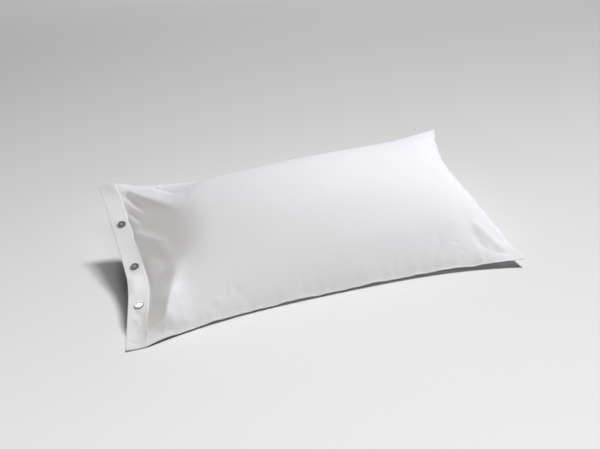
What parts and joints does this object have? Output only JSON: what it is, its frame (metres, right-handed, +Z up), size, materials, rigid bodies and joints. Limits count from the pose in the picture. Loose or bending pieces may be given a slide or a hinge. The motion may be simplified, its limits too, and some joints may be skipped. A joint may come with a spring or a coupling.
{
  "type": "pillowcase",
  "caption": "Filled oblong pillowcase lying on its back: crowned body with drawn-in sides and flat ears, and a flat button band across its open end.",
  "frame": {"origin": "on the surface that the pillow lies on, under the middle of the object's box", "axes": "+X runs along the case from the button band to the closed end, +Y from the low front side to the raised back side, +Z up"},
  "size_m": [0.8834, 0.4772, 0.1767],
  "materials": {
    "case_cotton": "smooth close-woven white cotton, matte with a faint sheen",
    "band_cotton": "the same white cotton in several pressed plies, edge stitched",
    "shell": "polished grey-white shell with a soft lustre"
  },
  "bodies": {
    "root": {"case": "case_cotton", "band_upper": "band_cotton", "band_lower": "band_cotton", "button_front": "shell", "button_middle": "shell", "button_back": "shell"}
  },
  "joints": []
}
